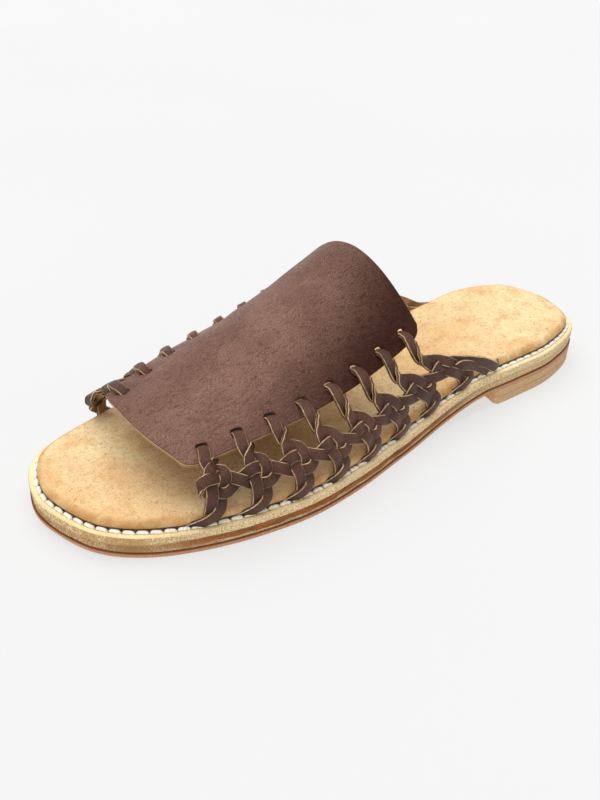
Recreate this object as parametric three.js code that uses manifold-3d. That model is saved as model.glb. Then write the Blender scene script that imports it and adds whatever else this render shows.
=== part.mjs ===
// Leather slide sandal for a left foot: a layered sole with a low heel, a padded insole, an arched vamp
// that is open at the toe and the heel, and a braid of flat thongs down each side from vamp to sole.
// Millimetres, +Z up. The sole stands on Z = 0, the toe points to -Y and the lateral side to +X.
import * as THREE from 'three';
import { mergeVertices } from 'three/addons/utils/BufferGeometryUtils.js';
import Module from 'manifold-3d';

const wasm = await Module();
wasm.setup();

// Room left between two pieces that touch on the real sandal
const GAP = 0.3;

// Sole outline: distance from the back of the heel, then the reach to the lateral and the medial side
const HEEL_TIP = { along: 0.2, across: 1.1 };
const TOE_TIP = { along: 272.5, across: -8.4 };
const OUTLINE = [
  { along: 3, lateral: 14.5, medial: 12.9 },
  { along: 10, lateral: 25.7, medial: 24.3 },
  { along: 35, lateral: 34.7, medial: 32.8 },
  { along: 60, lateral: 35.8, medial: 31.1 },
  { along: 85, lateral: 35.2, medial: 28.2 },
  { along: 110, lateral: 36.8, medial: 29.5 },
  { along: 135, lateral: 40.9, medial: 34.2 },
  { along: 160, lateral: 46.0, medial: 40.5 },
  { along: 185, lateral: 48.5, medial: 46.3 },
  { along: 205, lateral: 46.7, medial: 48.5 },
  { along: 225, lateral: 42.3, medial: 46.8 },
  { along: 245, lateral: 34.5, medial: 41.8 },
  { along: 258, lateral: 25.8, medial: 36.5 },
  { along: 266, lateral: 15.6, medial: 29.2 },
];
const SAMPLES_PER_ROW = 2;

// Side view of the sole: flat forefoot, low toe spring, arch up to a level heel seat
const HEEL_RISE = 8.2;
const SEAT_FRONT = 72;
const ARCH_FRONT = 135;
const TOE_SPRING = 1.5;
const SPRING_START = 238;

// Layers of the sole from the floor up. reach is how far a layer stands out past the outline.
const EDGE_ROUND = 0.5;
const LAYERS = [
  { name: 'outsole', thick: 1.9, reach: 0.2, colour: 0xc49272, roughness: 0.6 },
  { name: 'midsole', thick: 3.0, reach: -0.3, colour: 0x8a5a3a, roughness: 0.7 },
  { name: 'welt', thick: 3.8, reach: 0, colour: 0xd6bb8e, roughness: 0.85 },
];

// Heel lift under the outsole, with a hollowed breast
const BREAST_HOLLOW = 4;
const BREAST_STEPS = 8;

// Padded insole: rings of its rolled edge, each with its distance in from the welt's edge and its height
const INSOLE_LEDGE = 4.3;
const INSOLE_RINGS = [
  { inset: 1.2, up: 0 },
  { inset: 0.3, up: 0.8 },
  { inset: 0, up: 2.1 },
  { inset: 0.4, up: 3.3 },
  { inset: 1.6, up: 4.1 },
  { inset: 4.5, up: 4.4 },
];

// Vamp sections: reach and height of the lateral edge, the crest and the medial edge at each station
const VAMP_THICK = 2.0;
const VAMP = [
  { along: 116, lateral: 25.0, lateralUp: 45.0, crest: -10.2, crestUp: 78.5, medial: -46.5, medialUp: 49.5 },
  { along: 145, lateral: 31.0, lateralUp: 40.5, crest: -7.6, crestUp: 65.8, medial: -44.2, medialUp: 43.0 },
  { along: 175, lateral: 34.5, lateralUp: 37.2, crest: -5.0, crestUp: 53.0, medial: -40.7, medialUp: 38.0 },
  { along: 205, lateral: 33.8, lateralUp: 34.5, crest: -2.5, crestUp: 43.2, medial: -36.3, medialUp: 34.3 },
  { along: 237, lateral: 30.9, lateralUp: 31.5, crest: 1.2, crestUp: 36.0, medial: -23.8, medialUp: 33.3 },
];
// Share of the drop from crest to edge that is a plain parabola; the rest falls late, near the edge
const LATERAL_ROUND = 1.1;
const MEDIAL_ROUND = 0.78;
// Front and rear cuts of the vamp: where they meet the crest and the two sides
const FRONT_CUT = { crest: 236.6, lateral: 232.4, medial: 235.4 };
const REAR_CUT = { crest: 124.5, lateral: 115, medial: 123.5 };
const CORNER_FRONT = 6;
const CORNER_REAR = 5;
const VAMP_STEPS_ALONG = 13;
const VAMP_STEPS_ACROSS = 16;
const END_CROWDING = 0.5;

// Braids: one thong through each slot of the vamp, and two lengthwise thongs woven through them
const UNITS = 8;
const THONG_WIDE = 3.6;
const THONG_THICK = 1.7;
const SLOT_WIDE = 5.4;
const SLOT_TALL = 4.8;
const SLOT_CORNER = 0.7;
const SLOT_REACH = 8;
// Height of a slot's middle and of the thong's turn above the vamp's lower edge
const SLOT_RISE = 5.5;
const SLOT_TURN = 6.2;
// Share of the wall's lean that goes on up the vamp to the slot
const VAMP_LEAN = 0.75;
// Wall of each braid: how far its foot stands in from the sole's edge and how stiffly it leaves both ends
const BASE_INSET = 2.6;
const WALL_PULL = 0.35;
// Crossings of the lengthwise thongs: the share of the wall that each stands for and its level above the welt.
// Both levels grow by a share for each slot behind the start.
const LOWER_CROSSING = { part: 0.37, level: 12 };
const UPPER_CROSSING = { part: 0.575, level: 17.4 };
const GROWTH_START = 4.2;
const GROWTH = 0.12;
// Mean distance between two thongs, and how far a knot reaches to each side
const PITCH = 16;
const KNOT_REACH = 4;
// First slot and first foot of the thongs from the toe, their spacing, how far the wall bellies out, and how
// many times as high the first slot stands, less the fade for each slot behind it
const SIDES = {
  lateral: {
    sign: 1,
    firstSlot: 221.9,
    slotPitch: 13.94,
    firstBase: 227,
    basePitch: 18.3,
    spread: 0.02,
    belly: 1.5,
    knotLine: 1.2,
    slotLift: 1,
    liftFade: 0,
  },
  medial: {
    sign: -1,
    firstSlot: 228.5,
    slotPitch: 13.6,
    firstBase: 233,
    basePitch: 18.2,
    spread: 0.05,
    belly: 3.1,
    knotLine: 2.4,
    slotLift: 1.35,
    liftFade: 0.09,
  },
};

// Ways the smooth side of a thong can look, as parts heelward, up the wall and out of the wall
const FACES = {
  out: [0, 0, 1],
  heelOut: [1, 0, 1],
  heel: [1, 0, 0],
  in: [0, 0, -1],
  up: [0, 1, 0],
};

// Room under a thong that lies on the vamp, and the distance between their middles
const THONG_CLEAR = 0.5;
const ON_VAMP = VAMP_THICK / 2 + THONG_CLEAR + THONG_THICK / 2;

// Route of one slot's thong, from its outer end at the welt, up through the slot and down to its inner end.
// line 0 is the slot's line and 1 the knot's line, shift goes heelward from it, part is the share of the
// wall's height and up is added to it, out is the distance out of the wall.
const SLOT_THONG = [
  { line: 1, shift: -7.2, part: 0, up: 2.4, out: -0.3, face: 'out' },
  { line: 1, shift: -2.4, part: 0, up: 3.6, out: 0.9, face: 'out' },
  { line: 1, shift: 1.0, part: 0, up: 6.6, out: 0.7, face: 'out' },
  { line: 1, shift: 1.8, part: 0.365, up: 0, out: -0.7, face: 'out' },
  { line: 1, shift: 2.8, part: 0.58, up: 0, out: 0.8, face: 'out' },
  { line: 1, shift: 2.1, part: 0.68, up: 0, out: 0.3, face: 'out' },
  { line: 1, shift: -1.4, part: 0.78, up: 0, out: -0.7, face: 'out' },
  { line: 0, shift: -1.8, part: 1, up: -1.0, out: ON_VAMP, face: 'out' },
  { line: 0, shift: 0, part: 1, up: 4.0, out: ON_VAMP, face: 'out' },
  { line: 0, shift: 0, part: 1, up: SLOT_TURN, out: 0, face: 'up' },
  { line: 0, shift: 0.2, part: 1, up: 4.0, out: -ON_VAMP, face: 'in' },
  { line: 0, shift: 2.4, part: 1, up: -1.2, out: -ON_VAMP, face: 'in' },
  { line: 0, shift: 0.2, part: 0.87, up: 0, out: 0.2, face: 'heel' },
  { line: 0, shift: -1.4, part: 0.74, up: 0, out: 0.9, face: 'heelOut' },
  { line: 1, shift: -2.6, part: 0.575, up: 0, out: -0.7, face: 'out' },
  { line: 1, shift: -2.2, part: 0.36, up: 0, out: 0.9, face: 'out' },
  { line: 1, shift: -1.0, part: 0, up: 3.4, out: -0.4, face: 'out' },
  { line: 1, shift: 4.0, part: 0, up: 2.4, out: -0.4, face: 'out' },
];

// Route of a lengthwise thong past one slot's thong, as the upper or the lower of the two
const UPPER_WEFT = [
  { shift: -2.4, part: 0.57, out: 0.8 },
  { shift: 2.8, part: 0.575, out: -0.7 },
  { shift: 8.0, part: 0.485, out: 0.75 },
];
const LOWER_WEFT = [
  { shift: -2.2, part: 0.365, out: -0.7 },
  { shift: 2.8, part: 0.375, out: 0.8 },
  { shift: 8.0, part: 0.475, out: -0.75 },
];
// Ends of the lengthwise thongs: they are one thong turned back at the toe, with two tails at the heel
const UPPER_ENDS = {
  loop: { shift: -5.9, part: 0.555, out: 0.3 },
  tail: [
    { shift: 8.5, part: 0.25, out: 0.6 },
    { shift: 13.0, part: 0, up: 2.4, out: -0.2 },
  ],
};
const LOWER_ENDS = {
  loop: { shift: -5.5, part: 0.5, out: 0.2 },
  tail: [
    { shift: 5.4, part: 0.22, out: 0.3 },
    { shift: 9.0, part: 0, up: 2.4, out: -0.2 },
  ],
};

// Plain helpers
const smooth = (t) => THREE.MathUtils.smoothstep(t, 0, 1);

// Smooth value of one column of a table at a station along the foot
function columnAt(rows, column, along) {
  const slope = (low, high) => {
    return (rows[high][column] - rows[low][column]) / (rows[high].along - rows[low].along);
  };
  const last = rows.length - 1;
  const next = THREE.MathUtils.clamp(rows.findIndex((row) => row.along >= along), 1, last);
  const index = along > rows[last].along ? last : next;
  const low = rows[index - 1];
  const high = rows[index];
  const span = high.along - low.along;
  const t = (along - low.along) / span;
  const lowSlope = slope(Math.max(index - 2, 0), index);
  const highSlope = slope(index - 1, Math.min(index + 1, last));
  const lowPart = (1 + 2 * t) * (1 - t) ** 2 * low[column] + t * (1 - t) ** 2 * span * lowSlope;
  return lowPart + t * t * (3 - 2 * t) * high[column] + t * t * (t - 1) * span * highSlope;
}

// Sole outline as a closed curve: back of the heel, lateral side, toe, medial side
const outlineCurve = new THREE.CatmullRomCurve3(
  [
    new THREE.Vector3(HEEL_TIP.along, HEEL_TIP.across, 0),
    ...OUTLINE.map((row) => new THREE.Vector3(row.along, row.lateral, 0)),
    new THREE.Vector3(TOE_TIP.along, TOE_TIP.across, 0),
    ...OUTLINE.toReversed().map((row) => new THREE.Vector3(row.along, -row.medial, 0)),
  ],
  true,
  'centripetal',
);
const LOOP_COUNT = 2 * (OUTLINE.length + 1) * SAMPLES_PER_ROW;

// Outline points moved inwards
function outlineLoop(inset) {
  return Array.from({ length: LOOP_COUNT }, (_, index) => {
    const point = outlineCurve.getPoint(index / LOOP_COUNT);
    const tangent = outlineCurve.getTangent(index / LOOP_COUNT);
    return { along: point.x + inset * tangent.y, across: point.y - inset * tangent.x };
  });
}

const outlineBox = new THREE.Box2().setFromPoints(
  outlineLoop(0).map((point) => new THREE.Vector2(point.across, point.along)),
);
const outlineCentre = outlineBox.getCenter(new THREE.Vector2());

// Foot places to the part's own frame
function place(along, across, up) {
  return new THREE.Vector3(across - outlineCentre.x, outlineCentre.y - along, up);
}

// Reach of one side of the sole at a station, measured on the inset outline
function sideReach(sign, along, inset) {
  const loop = outlineLoop(inset);
  const half = LOOP_COUNT / 2;
  const side = sign > 0 ? loop.slice(0, half + 1) : [loop[0], ...loop.slice(half).toReversed()];
  const index = side.findIndex((point) => point.along >= along);
  const low = side[index - 1];
  const high = side[index];
  return THREE.MathUtils.mapLinear(along, low.along, high.along, low.across, high.across);
}

// Height of the sole's underside
function soleUnder(along) {
  const arch = HEEL_RISE * smooth((ARCH_FRONT - along) / (ARCH_FRONT - SEAT_FRONT));
  const spring = Math.max(0, (along - SPRING_START) / (TOE_TIP.along - SPRING_START));
  return arch + TOE_SPRING * spring ** 2;
}
const SOLE_THICK = LAYERS.reduce((sum, layer) => sum + layer.thick, 0) + GAP * (LAYERS.length - 1);
const weltTop = (along) => soleUnder(along) + SOLE_THICK;

// Closed geometry with its faces turned outwards
function closedGeometry(points, faces) {
  const volume = faces.reduce((sum, [a, b, c]) => {
    return sum + points[a].dot(new THREE.Vector3().crossVectors(points[b], points[c]));
  }, 0);
  const turned = volume > 0 ? faces : faces.map(([a, b, c]) => [a, c, b]);
  const geometry = new THREE.BufferGeometry().setFromPoints(points);
  geometry.setIndex(turned.flat());
  return geometry;
}

// Solid between rings that all follow the sole's loop, closed across the foot at both ends
function loftRings(rings) {
  const count = rings[0].length;
  const half = count / 2;
  const faces = [];
  for (let level = 0; level < rings.length - 1; level += 1) {
    for (let index = 0; index < count; index += 1) {
      const next = (index + 1) % count;
      const low = level * count;
      faces.push([low + index, low + next, low + count + next]);
      faces.push([low + index, low + count + next, low + count + index]);
    }
  }
  const top = (rings.length - 1) * count;
  for (let index = 0; index < half; index += 1) {
    const across = (count - index) % count;
    const corners = [index, index + 1, across - 1 < 0 ? count - 1 : across - 1, across];
    const [a, b, c, d] = corners;
    if (b !== c) {
      faces.push([a, c, b], [top + a, top + b, top + c]);
    }
    if (a !== d) {
      faces.push([a, d, c], [top + a, top + c, top + d]);
    }
  }
  return closedGeometry(rings.flat(), faces);
}

// One leather layer of the sole with softened edges
function soleLayer(layer, base) {
  const ring = (inset, up) => {
    return outlineLoop(inset - layer.reach).map((point) => {
      return place(point.along, point.across, soleUnder(point.along) + base + up);
    });
  };
  return loftRings([
    ring(EDGE_ROUND, 0),
    ring(0, EDGE_ROUND),
    ring(0, layer.thick - EDGE_ROUND),
    ring(EDGE_ROUND, layer.thick),
  ]);
}

// Heel lift: the outline behind the breast line, closed by a hollowed curve
function heelLift() {
  const reach = LAYERS[0].reach;
  const loop = outlineLoop(-reach);
  const half = LOOP_COUNT / 2;
  const behind = (point) => point.along < SEAT_FRONT;
  const medial = loop.slice(half).filter(behind);
  const lateral = loop.slice(0, half).filter(behind);
  const corner = (sign) => ({ along: SEAT_FRONT, across: sideReach(sign, SEAT_FRONT, -reach) });
  const breast = Array.from({ length: BREAST_STEPS + 1 }, (_, step) => {
    const share = step / BREAST_STEPS;
    const hollow = BREAST_HOLLOW * Math.sin(Math.PI * share);
    return {
      along: SEAT_FRONT - hollow,
      across: THREE.MathUtils.lerp(corner(1).across, corner(-1).across, share),
    };
  });
  const shape = new THREE.Shape(
    [...medial, ...lateral, ...breast].map((point) => {
      const spot = place(point.along, point.across, 0);
      return new THREE.Vector2(spot.x, spot.y);
    }),
  );
  return new THREE.ExtrudeGeometry(shape, { depth: HEEL_RISE - GAP, bevelEnabled: false });
}

// Padded insole that follows the welt's top
function insole() {
  return loftRings(
    INSOLE_RINGS.map((ring) => {
      return outlineLoop(INSOLE_LEDGE + ring.inset).map((point) => {
        return place(point.along, point.across, weltTop(point.along) + GAP + ring.up);
      });
    }),
  );
}

// Outer face of the vamp: share runs from -1 at the medial edge over 0 at the crest to 1 at the lateral edge
function vampFace(along, share) {
  const side = share >= 0 ? 'lateral' : 'medial';
  const round = share >= 0 ? LATERAL_ROUND : MEDIAL_ROUND;
  const reach = Math.abs(share);
  const crest = columnAt(VAMP, 'crest', along);
  const crestUp = columnAt(VAMP, 'crestUp', along);
  const across = THREE.MathUtils.lerp(crest, columnAt(VAMP, side, along), reach);
  const drop = round * reach ** 2 + (1 - round) * reach ** 4;
  return place(along, across, crestUp - (crestUp - columnAt(VAMP, `${side}Up`, along)) * drop);
}

// Small steps that slopes are measured over
const PROBE_ALONG = 1;
const PROBE_SHARE = 0.01;
const PROBE_WALL = 0.05;

function vampNormal(along, share) {
  const foreAft = vampFace(along + PROBE_ALONG, share).sub(vampFace(along - PROBE_ALONG, share));
  const sideways = vampFace(along, share + PROBE_SHARE).sub(vampFace(along, share - PROBE_SHARE));
  const normal = sideways.cross(foreAft).normalize();
  return normal.z < 0 ? normal.negate() : normal;
}

// Point of the vamp's leather at a depth below its outer face
function vampPoint(along, share, depth) {
  return vampFace(along, share).addScaledVector(vampNormal(along, share), -depth);
}

// Millimetres of leather for one whole share at the vamp's lower edge
function edgeRate(sign, along) {
  return vampFace(along, sign).distanceTo(vampFace(along, sign * (1 - PROBE_SHARE))) / PROBE_SHARE;
}

function cutAlong(cut, share) {
  return cut.crest + (cut[share >= 0 ? 'lateral' : 'medial'] - cut.crest) * share ** 2;
}

// How far a rounded corner has drawn in at a distance from the cut
function cornerDraw(radius, distance) {
  const short = Math.max(0, radius - distance);
  return radius - Math.sqrt(radius ** 2 - short ** 2);
}

// Vamp sheet: both faces of the leather over the same grid, joined round the rim
function vampSheet() {
  const columns = VAMP_STEPS_ACROSS + 1;
  const spots = [];
  for (let row = 0; row <= VAMP_STEPS_ALONG; row += 1) {
    const run = THREE.MathUtils.lerp(row / VAMP_STEPS_ALONG, smooth(row / VAMP_STEPS_ALONG), END_CROWDING);
    for (let column = 0; column < columns; column += 1) {
      const full = THREE.MathUtils.mapLinear(column, 0, VAMP_STEPS_ACROSS, -1, 1);
      const front = cutAlong(FRONT_CUT, full);
      const rear = cutAlong(REAR_CUT, full);
      const along = THREE.MathUtils.lerp(front, rear, run);
      const draw = cornerDraw(CORNER_FRONT, front - along) + cornerDraw(CORNER_REAR, along - rear);
      spots.push({ along, share: full * (1 - draw / edgeRate(Math.sign(full) || 1, along)) });
    }
  }
  const outer = spots.map((spot) => vampPoint(spot.along, spot.share, 0));
  const inner = spots.map((spot) => vampPoint(spot.along, spot.share, VAMP_THICK));
  const faces = [];
  const deep = spots.length;
  for (let row = 0; row < VAMP_STEPS_ALONG; row += 1) {
    for (let column = 0; column < VAMP_STEPS_ACROSS; column += 1) {
      const a = row * columns + column;
      const [b, c, d] = [a + 1, a + columns + 1, a + columns];
      faces.push([a, b, c], [a, c, d], [deep + a, deep + c, deep + b], [deep + a, deep + d, deep + c]);
    }
  }
  const rim = (a, b) => faces.push([a, deep + a, deep + b], [a, deep + b, b]);
  const lastRow = VAMP_STEPS_ALONG * columns;
  for (let column = 0; column < VAMP_STEPS_ACROSS; column += 1) {
    rim(column, column + 1);
    rim(lastRow + column + 1, lastRow + column);
  }
  for (let row = 0; row < VAMP_STEPS_ALONG; row += 1) {
    rim((row + 1) * columns, row * columns);
    rim(row * columns + columns - 1, (row + 1) * columns + columns - 1);
  }
  return closedGeometry([...outer, ...inner], faces);
}

const slotLiftAt = (side, unit) => side.slotLift - side.liftFade * unit;

// Braid wall: from the welt up to the vamp's lower edge, and on up the middle of the vamp's leather.
// unit counts slots from the toe and level is the height along the wall.
function wallAt(side, unit) {
  const slotAlong = side.firstSlot - side.slotPitch * unit;
  const baseAlong = side.firstBase - side.basePitch * unit - side.spread * Math.max(unit, 0) ** 3;
  const base = place(baseAlong, sideReach(side.sign, baseAlong, BASE_INSET), weltTop(baseAlong));
  const lean = (VAMP_LEAN * (slotAlong - baseAlong)) / base.distanceTo(vampFace(slotAlong, side.sign));
  const edgeAlong = slotAlong - lean * SLOT_TURN * slotLiftAt(side, unit);
  const edge = vampPoint(edgeAlong, side.sign, VAMP_THICK / 2);
  const inner = vampPoint(edgeAlong, side.sign * (1 - PROBE_SHARE), VAMP_THICK / 2);
  const height = base.distanceTo(edge);
  const pull = height * WALL_PULL;
  const lowPull = base.clone().add(new THREE.Vector3(side.sign * side.belly, 0, pull));
  const highPull = edge.clone().addScaledVector(edge.clone().sub(inner).normalize(), pull);
  const curve = new THREE.CubicBezierCurve3(base, lowPull, highPull, edge);
  return { edgeAlong, lean, height, curve };
}

function wallPoint(side, unit, level) {
  const wall = wallAt(side, unit);
  if (level <= wall.height) {
    return wall.curve.getPoint(level / wall.height);
  }
  const rise = level - wall.height;
  const share = 1 - rise / edgeRate(side.sign, wall.edgeAlong);
  return vampPoint(wall.edgeAlong + wall.lean * rise, side.sign * share, VAMP_THICK / 2);
}

// Heelward, upward and outward directions of the wall
function wallFrame(side, unit, level) {
  const ahead = wallPoint(side, unit - PROBE_WALL, level);
  const behind = wallPoint(side, unit + PROBE_WALL, level);
  const above = wallPoint(side, unit, level + PROBE_WALL);
  const below = wallPoint(side, unit, level - PROBE_WALL);
  const heelward = behind.sub(ahead).normalize();
  const rise = above.sub(below).normalize();
  const outward = heelward.clone().cross(rise).multiplyScalar(side.sign).normalize();
  const upward = outward.clone().cross(heelward).multiplyScalar(side.sign);
  return { heelward, upward, outward };
}

// Level on the wall that a share of it stands for
function wallLevel(side, spot, part) {
  const growth = 1 + GROWTH * Math.max(0, spot - GROWTH_START);
  const stops = [
    { part: 0, level: 0 },
    { part: LOWER_CROSSING.part, level: LOWER_CROSSING.level * growth },
    { part: UPPER_CROSSING.part, level: UPPER_CROSSING.level * growth },
    { part: 1, level: wallAt(side, spot).height },
  ];
  const next = stops.findIndex((stop, index) => index > 0 && part <= stop.part);
  const low = stops[next - 1];
  const high = stops[next];
  return THREE.MathUtils.mapLinear(part, low.part, high.part, low.level, high.level);
}

// Place of one row of a thong's route, with the way its smooth side looks
function thongSpot(side, unit, row) {
  const spot = unit + ((row.line ?? 1) * side.knotLine + side.sign * row.shift) / PITCH;
  const lift = row.part === 1 ? slotLiftAt(side, unit) : 1;
  const level = wallLevel(side, spot, row.part) + (row.up ?? 0) * lift;
  const frame = wallFrame(side, spot, level);
  const [heelward, upward, outward] = FACES[row.face ?? 'out'];
  const face = frame.heelward
    .clone()
    .multiplyScalar(heelward * side.sign)
    .addScaledVector(frame.upward, upward)
    .addScaledVector(frame.outward, outward)
    .normalize();
  return { point: wallPoint(side, spot, level).addScaledVector(frame.outward, row.out), face, spot };
}

// Flat thong swept through its spots
function thong(spots) {
  const points = [];
  const faces = [];
  spots.forEach(({ point, face }, index) => {
    const before = spots[Math.max(index - 1, 0)].point;
    const after = spots[Math.min(index + 1, spots.length - 1)].point;
    const run = after.clone().sub(before).normalize();
    const wide = run.clone().cross(face).normalize().multiplyScalar(THONG_WIDE / 2);
    const thick = wide.clone().cross(run).normalize().multiplyScalar(THONG_THICK / 2);
    for (const [w, t] of [[1, 1], [-1, 1], [-1, -1], [1, -1]]) {
      points.push(point.clone().addScaledVector(wide, w).addScaledVector(thick, t));
    }
  });
  for (let index = 0; index < spots.length - 1; index += 1) {
    for (let corner = 0; corner < 4; corner += 1) {
      const a = index * 4 + corner;
      const b = index * 4 + ((corner + 1) % 4);
      faces.push([a, b, b + 4], [a, b + 4, a + 4]);
    }
  }
  const end = points.length - 4;
  faces.push([0, 2, 1], [0, 3, 2], [end, end + 1, end + 2], [end, end + 2, end + 3]);
  return closedGeometry(points, faces);
}

// Lengthwise thong: upper at every second slot and lower at the others, from the toe loop to its tail
function weft(side, phase) {
  const rows = [];
  for (let unit = 0; unit < UNITS; unit += 1) {
    const route = (unit + phase) % 2 === 0 ? UPPER_WEFT : LOWER_WEFT;
    rows.push(...route.map((row) => thongSpot(side, unit, row)));
  }
  rows.sort((a, b) => a.spot - b.spot);
  const first = (side.knotLine - KNOT_REACH) / PITCH;
  const last = UNITS - 1 + (side.knotLine + KNOT_REACH) / PITCH;
  const kept = rows.filter((row) => row.spot > first && row.spot < last);
  const endSpot = (unit, row) => thongSpot(side, unit, { ...row, shift: side.sign * row.shift });
  const { loop } = phase === 0 ? UPPER_ENDS : LOWER_ENDS;
  const { tail } = phase === 0 ? LOWER_ENDS : UPPER_ENDS;
  return [endSpot(0, loop), ...kept, ...tail.map((row) => endSpot(UNITS - 1, row))];
}

// Joins and cuts
function toSolid(geometry) {
  const bare = geometry.clone();
  bare.deleteAttribute('normal');
  bare.deleteAttribute('uv');
  const merged = mergeVertices(bare);
  const vertProperties = new Float32Array(merged.attributes.position.array);
  const triVerts = new Uint32Array(merged.index.array);
  return new wasm.Manifold(new wasm.Mesh({ numProp: 3, vertProperties, triVerts }));
}

function toGeometry(solid) {
  const { vertProperties, triVerts } = solid.getMesh();
  const geometry = new THREE.BufferGeometry();
  geometry.setAttribute('position', new THREE.BufferAttribute(vertProperties, 3));
  geometry.setIndex(new THREE.BufferAttribute(triVerts, 1));
  return geometry;
}

// Outer skin of a joined solid, without the small pockets that crossing thongs shut in
function outerSkin(geometry) {
  const positions = geometry.attributes.position;
  const triangles = [];
  for (let index = 0; index < geometry.index.count; index += 3) {
    triangles.push([0, 1, 2].map((corner) => geometry.index.getX(index + corner)));
  }
  const leader = triangles.map((_, index) => index);
  const rootOf = (index) => {
    let root = index;
    while (leader[root] !== root) {
      leader[root] = leader[leader[root]];
      root = leader[root];
    }
    return root;
  };
  const edgeOwner = new Map();
  triangles.forEach(([a, b, c], index) => {
    for (const edge of [[a, b], [b, c], [c, a]]) {
      const key = edge.toSorted((low, high) => low - high).join('-');
      leader[rootOf(index)] = rootOf(edgeOwner.get(key) ?? index);
      edgeOwner.set(key, index);
    }
  });
  const skins = Map.groupBy(triangles.keys(), rootOf);
  const most = [...skins.values()].reduce((best, skin) => (skin.length > best.length ? skin : best));
  const largest = most.map((index) => triangles[index]);
  const used = [...new Set(largest.flat())];
  const renumbered = new Map(used.map((vertex, index) => [vertex, index]));
  const points = used.map((vertex) => new THREE.Vector3().fromBufferAttribute(positions, vertex));
  return closedGeometry(points, largest.map((corners) => corners.map((vertex) => renumbered.get(vertex))));
}

function braid(side) {
  const slotThongs = Array.from({ length: UNITS }, (_, unit) => {
    return SLOT_THONG.map((row) => thongSpot(side, unit, row));
  });
  const routes = [...slotThongs, weft(side, 0), weft(side, 1)];
  const solids = routes.map((route) => toSolid(thong(route)));
  return outerSkin(toGeometry(solids.reduce((joined, next) => joined.add(next))));
}

// Slot cutter: a bar with blunted corners that stands through the vamp
function slotCutter(side, unit) {
  const wide = SLOT_WIDE / 2;
  const tall = SLOT_TALL / 2;
  const corners = [[1, 1], [-1, 1], [-1, -1], [1, -1]].flatMap(([x, y]) => {
    const upright = new THREE.Vector2(x * wide, y * (tall - SLOT_CORNER));
    const level = new THREE.Vector2(x * (wide - SLOT_CORNER), y * tall);
    return x * y > 0 ? [upright, level] : [level, upright];
  });
  const shape = new THREE.Shape(corners);
  const geometry = new THREE.ExtrudeGeometry(shape, { depth: SLOT_REACH, bevelEnabled: false });
  const level = wallAt(side, unit).height + SLOT_RISE * slotLiftAt(side, unit);
  const frame = wallFrame(side, unit, level);
  const across = frame.heelward.clone().multiplyScalar(side.sign);
  const basis = new THREE.Matrix4().makeBasis(across, frame.upward, frame.outward);
  const centre = wallPoint(side, unit, level).addScaledVector(frame.outward, -SLOT_REACH / 2);
  return geometry.applyMatrix4(basis.setPosition(centre));
}

function vamp() {
  let solid = toSolid(vampSheet());
  for (const side of Object.values(SIDES)) {
    for (let unit = 0; unit < UNITS; unit += 1) {
      solid = solid.subtract(toSolid(slotCutter(side, unit)));
    }
  }
  return toGeometry(solid);
}

// Assembly
const sandal = new THREE.Group();

function addPiece(name, geometry, colour, roughness) {
  const material = new THREE.MeshStandardMaterial({ color: colour, roughness, metalness: 0 });
  const mesh = new THREE.Mesh(geometry, material);
  mesh.name = name;
  sandal.add(mesh);
}

let base = 0;
for (const layer of LAYERS) {
  addPiece(layer.name, soleLayer(layer, base), layer.colour, layer.roughness);
  base += layer.thick + GAP;
}
addPiece('heel_lift', heelLift(), 0xc9a07e, 0.65);
addPiece('insole', insole(), 0xd9b585, 0.95);
addPiece('vamp', vamp(), 0x5a3a30, 0.5);
for (const [name, side] of Object.entries(SIDES)) {
  addPiece(`braid_${name}`, braid(side), 0x4a2e27, 0.55);
}

export default sandal;
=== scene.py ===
import math

import bmesh
import bpy
import numpy as np
from mathutils import Matrix, Vector, noise as perlin
from numpy.linalg import norm


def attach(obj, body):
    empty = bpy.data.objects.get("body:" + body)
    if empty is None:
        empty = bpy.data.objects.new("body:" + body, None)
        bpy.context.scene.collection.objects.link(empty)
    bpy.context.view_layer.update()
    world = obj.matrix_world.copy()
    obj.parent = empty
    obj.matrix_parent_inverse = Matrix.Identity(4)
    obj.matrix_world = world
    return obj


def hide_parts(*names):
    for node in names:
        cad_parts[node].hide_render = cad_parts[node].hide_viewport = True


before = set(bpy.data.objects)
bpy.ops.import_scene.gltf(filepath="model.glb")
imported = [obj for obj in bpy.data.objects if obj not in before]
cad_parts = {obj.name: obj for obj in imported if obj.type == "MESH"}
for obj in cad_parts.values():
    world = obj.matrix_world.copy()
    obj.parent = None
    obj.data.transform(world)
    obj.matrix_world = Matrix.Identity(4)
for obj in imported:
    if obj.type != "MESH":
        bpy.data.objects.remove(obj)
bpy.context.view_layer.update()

# Shapes are worked out in millimetres and turned to metres when a mesh is made
MM = 0.001

# Sole outline: tips as along and across, rows as along, lateral reach and medial reach
HEEL_TIP = (0.2, 1.1)
TOE_TIP = (272.5, -8.4)
OUTLINE = [
    (3, 14.5, 12.9), (10, 25.7, 24.3), (35, 34.7, 32.8), (60, 35.8, 31.1), (85, 35.2, 28.2),
    (110, 36.8, 29.5), (135, 40.9, 34.2), (160, 46.0, 40.5), (185, 48.5, 46.3), (205, 46.7, 48.5),
    (225, 42.3, 46.8), (245, 34.5, 41.8), (258, 25.8, 36.5), (266, 15.6, 29.2),
]
OUTLINE_STEPS = 12

# Side view of the sole: rise to the heel seat, toe spring and layers
HEEL_RISE = 8.2
SEAT_FRONT = 72
ARCH_FRONT = 135
TOE_SPRING = 1.5
SPRING_START = 238
OUTSOLE = 1.9
MIDSOLE = 3.0
WELT = 3.8
# How far the outsole and the midsole stand out past the welt's outline
OUTSOLE_REACH = 0.2
MIDSOLE_REACH = -0.3
GAP = 0.3
SOLE_THICK = OUTSOLE + MIDSOLE + WELT + 2 * GAP

# Distance of the insole's edge from the edge of the welt
INSOLE_LEDGE = 4.3

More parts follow.
